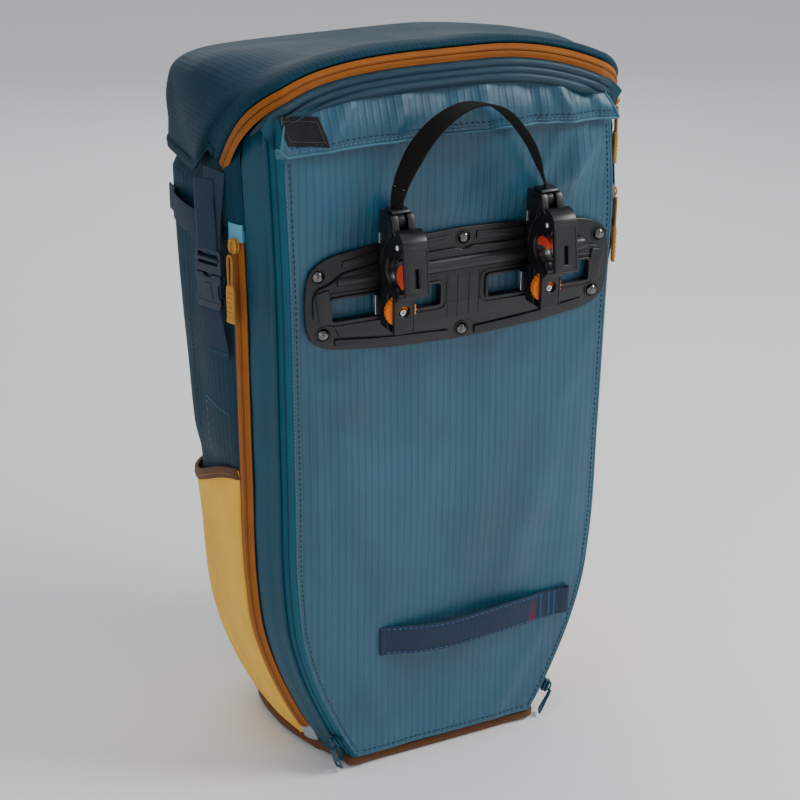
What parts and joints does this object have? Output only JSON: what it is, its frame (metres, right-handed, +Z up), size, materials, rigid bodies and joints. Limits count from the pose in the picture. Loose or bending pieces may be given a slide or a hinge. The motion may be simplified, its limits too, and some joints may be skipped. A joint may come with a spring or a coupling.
{
  "type": "pannier bag",
  "caption": "Tall zip-lid cycle pannier with a fold-up zipped back cover, side pockets, buckled side straps and a plate of sliding, lever-opened rail hooks",
  "frame": {"origin": "the middle of the bounding box in X and Y, on the plane of the base", "axes": "+Z up the bag; -Y is the back of the bag, the side with the hooks that faces the wheel; +X is to the right when looking at that side; +Y is the shortest side of the bounding box"},
  "size_m": [0.3426, 0.2284, 0.5679],
  "materials": {
    "tarpaulin": "coated ripstop tarpaulin, satin",
    "dark_tarpaulin": "coated ripstop tarpaulin, dark, satin",
    "ochre_fabric": "plain woven polyester, matt",
    "orange_zip": "woven zip tape with coil teeth",
    "teal_zip": "woven zip tape with coil teeth",
    "slate_webbing": "woven webbing",
    "slate_plastic": "moulded acetal",
    "black_plastic": "moulded nylon, fine satin",
    "black_webbing": "woven webbing",
    "orange_plastic": "moulded, satin",
    "red_plastic": "moulded, satin",
    "steel": "zinc plated",
    "dark_chrome": "black nickel",
    "teal_metal": "painted die casting",
    "gold_fabric": "woven tape",
    "grey_mesh": "spacer mesh",
    "board": "extruded sheet"
  },
  "bodies": {
    "root": {"body_shell": "dark_tarpaulin", "back_board": "board", "back_pad": "grey_mesh", "back_frame": "tarpaulin", "storm_flap": "tarpaulin", "cover_upper": "tarpaulin", "lid_zip": "orange_zip", "hook_plate": "black_plastic", "plate_backing": "board", "handle_strap": "black_webbing", "rivet_left_top": "dark_chrome", "rivet_left_bottom": "dark_chrome", "rivet_middle_top": "dark_chrome", "rivet_middle_bottom": "dark_chrome", "rivet_right_top": "dark_chrome", "rivet_right_bottom": "dark_chrome", "cover_zip_left": "teal_zip", "cover_zip_right": "teal_zip", "gusset_zip_left": "orange_zip", "gusset_zip_right": "orange_zip", "side_pocket_left": "ochre_fabric", "side_pocket_right": "ochre_fabric", "side_loop_left": "slate_webbing", "side_loop_right": "slate_webbing", "strap_upper_left": "slate_webbing", "strap_upper_right": "slate_webbing", "buckle_female_left": "slate_plastic", "buckle_female_right": "slate_plastic", "strap_lower_left": "slate_webbing", "strap_lower_right": "slate_webbing"},
    "lid": {"hood": "dark_tarpaulin"},
    "cover_flap": {"cover_lower": "tarpaulin", "lamp_loop": "slate_webbing"},
    "lid_slider": {"lid_slider": "gold_fabric"},
    "lid_pull": {"lid_pull": "gold_fabric"},
    "gusset_slider_left": {"gusset_slider_left": "gold_fabric"},
    "gusset_pull_left": {"gusset_pull_left": "gold_fabric"},
    "cover_slider_left": {"cover_slider_left": "teal_metal"},
    "cover_pull_left": {"cover_pull_left": "teal_metal"},
    "buckle_left": {"buckle_male_left": "slate_plastic"},
    "hook_left": {"hook_body_left": "black_plastic", "hook_pin_left": "steel", "clamp_bolt_left": "steel"},
    "lever_left": {"hook_lever_left": "black_plastic"},
    "arm_left": {"hook_arm_left": "black_plastic", "hook_insert_left": "red_plastic"},
    "thumbwheel_left": {"thumbwheel_left": "orange_plastic"},
    "gusset_slider_right": {"gusset_slider_right": "gold_fabric"},
    "gusset_pull_right": {"gusset_pull_right": "gold_fabric"},
    "cover_slider_right": {"cover_slider_right": "teal_metal"},
    "cover_pull_right": {"cover_pull_right": "teal_metal"},
    "buckle_right": {"buckle_male_right": "slate_plastic"},
    "hook_right": {"hook_body_right": "black_plastic", "hook_pin_right": "steel", "clamp_bolt_right": "steel"},
    "lever_right": {"hook_lever_right": "black_plastic"},
    "arm_right": {"hook_arm_right": "black_plastic", "hook_insert_right": "red_plastic"},
    "thumbwheel_right": {"thumbwheel_right": "orange_plastic"}
  },
  "joints": [
    {"name": "lid_hinge", "type": "hinge", "parent": "root", "child": "lid", "pos_m": [0, 0.11415, 0.474], "axis": [-1, 0, 0], "range_deg": [0, 100]},
    {"name": "cover_fold", "type": "hinge", "parent": "root", "child": "cover_flap", "pos_m": [0, -0.06285, 0.342], "axis": [-1, 0, 0], "range_deg": [0, 100]},
    {"name": "lid_zip_slide", "type": "slide", "parent": "lid", "child": "lid_slider", "axis": [-0.02, -0.66, 0.751], "range_m": [0, 0.014]},
    {"name": "lid_pull_swing", "type": "hinge", "parent": "lid_slider", "child": "lid_pull", "pos_m": [0.15857, -0.02393, 0.4975], "axis": [-0.3102, -0.9507, 0], "range_deg": [0, 90]},
    {"name": "gusset_zip_slide_left", "type": "slide", "parent": "root", "child": "gusset_slider_left", "axis": [0.008, 0, -1], "range_m": [0, 0.2]},
    {"name": "gusset_pull_swing_left", "type": "hinge", "parent": "gusset_slider_left", "child": "gusset_pull_left", "pos_m": [-0.1544, -0.02419, 0.427], "axis": [-0.4368, 0.8996, 0], "range_deg": [0, 90]},
    {"name": "cover_zip_slide_left", "type": "slide", "parent": "root", "child": "cover_slider_left", "axis": [-0.4299, 0, 0.9029], "range_m": [0, 0.055]},
    {"name": "cover_pull_swing_left", "type": "hinge", "parent": "cover_slider_left", "child": "cover_pull_left", "pos_m": [-0.09565, -0.06152, 0.02357], "axis": [-0.4368, 0.8996, 0], "range_deg": [0, 90]},
    {"name": "buckle_release_left", "type": "slide", "parent": "root", "child": "buckle_left", "axis": [0, 0, 1], "range_m": [0, 0.022], "deforming": ["strap_upper_left"]},
    {"name": "hook_slide_left", "type": "slide", "parent": "root", "child": "hook_left", "axis": [1, 0, 0], "range_m": [-0.028, 0.026]},
    {"name": "lever_lift_left", "type": "hinge", "parent": "hook_left", "child": "lever_left", "pos_m": [-0.055, -0.07615, 0.4555], "axis": [-1, 0, 0], "range_deg": [0, 20], "stiffness_Nm_per_rad": 0.03},
    {"name": "arm_open_left", "type": "hinge", "parent": "hook_left", "child": "arm_left", "pos_m": [-0.055, -0.09865, 0.4435], "axis": [-1, 0, 0], "range_deg": [0, 31], "stiffness_Nm_per_rad": 0.03},
    {"name": "thumbwheel_turn_left", "type": "hinge", "parent": "hook_left", "child": "thumbwheel_left", "pos_m": [-0.055, -0.08665, 0.393], "axis": [0, -1, 0], "continuous": true},
    {"name": "gusset_zip_slide_right", "type": "slide", "parent": "root", "child": "gusset_slider_right", "axis": [-0.008, 0, -1], "range_m": [0, 0.2]},
    {"name": "gusset_pull_swing_right", "type": "hinge", "parent": "gusset_slider_right", "child": "gusset_pull_right", "pos_m": [0.1544, -0.02419, 0.427], "axis": [-0.4368, -0.8996, 0], "range_deg": [0, 90]},
    {"name": "cover_zip_slide_right", "type": "slide", "parent": "root", "child": "cover_slider_right", "axis": [0.4299, 0, 0.9029], "range_m": [0, 0.055]},
    {"name": "cover_pull_swing_right", "type": "hinge", "parent": "cover_slider_right", "child": "cover_pull_right", "pos_m": [0.09565, -0.06152, 0.02357], "axis": [-0.4368, -0.8996, 0], "range_deg": [0, 90]},
    {"name": "buckle_release_right", "type": "slide", "parent": "root", "child": "buckle_right", "axis": [0, 0, 1], "range_m": [0, 0.022], "deforming": ["strap_upper_right"]},
    {"name": "hook_slide_right", "type": "slide", "parent": "root", "child": "hook_right", "axis": [1, 0, 0], "range_m": [-0.026, 0.03]},
    {"name": "lever_lift_right", "type": "hinge", "parent": "hook_right", "child": "lever_right", "pos_m": [0.06, -0.07615, 0.4555], "axis": [-1, 0, 0], "range_deg": [0, 20], "stiffness_Nm_per_rad": 0.03},
    {"name": "arm_open_right", "type": "hinge", "parent": "hook_right", "child": "arm_right", "pos_m": [0.06, -0.09865, 0.4435], "axis": [-1, 0, 0], "range_deg": [0, 31], "stiffness_Nm_per_rad": 0.03},
    {"name": "thumbwheel_turn_right", "type": "hinge", "parent": "hook_right", "child": "thumbwheel_right", "pos_m": [0.06, -0.08665, 0.393], "axis": [0, -1, 0], "continuous": true}
  ],
  "couplings": [
    {"joint": "lever_lift_right", "follows": "lever_lift_left", "ratio": 1},
    {"joint": "arm_open_left", "follows": "lever_lift_left", "ratio": 1.5},
    {"joint": "arm_open_right", "follows": "lever_lift_left", "ratio": 1.5}
  ]
}
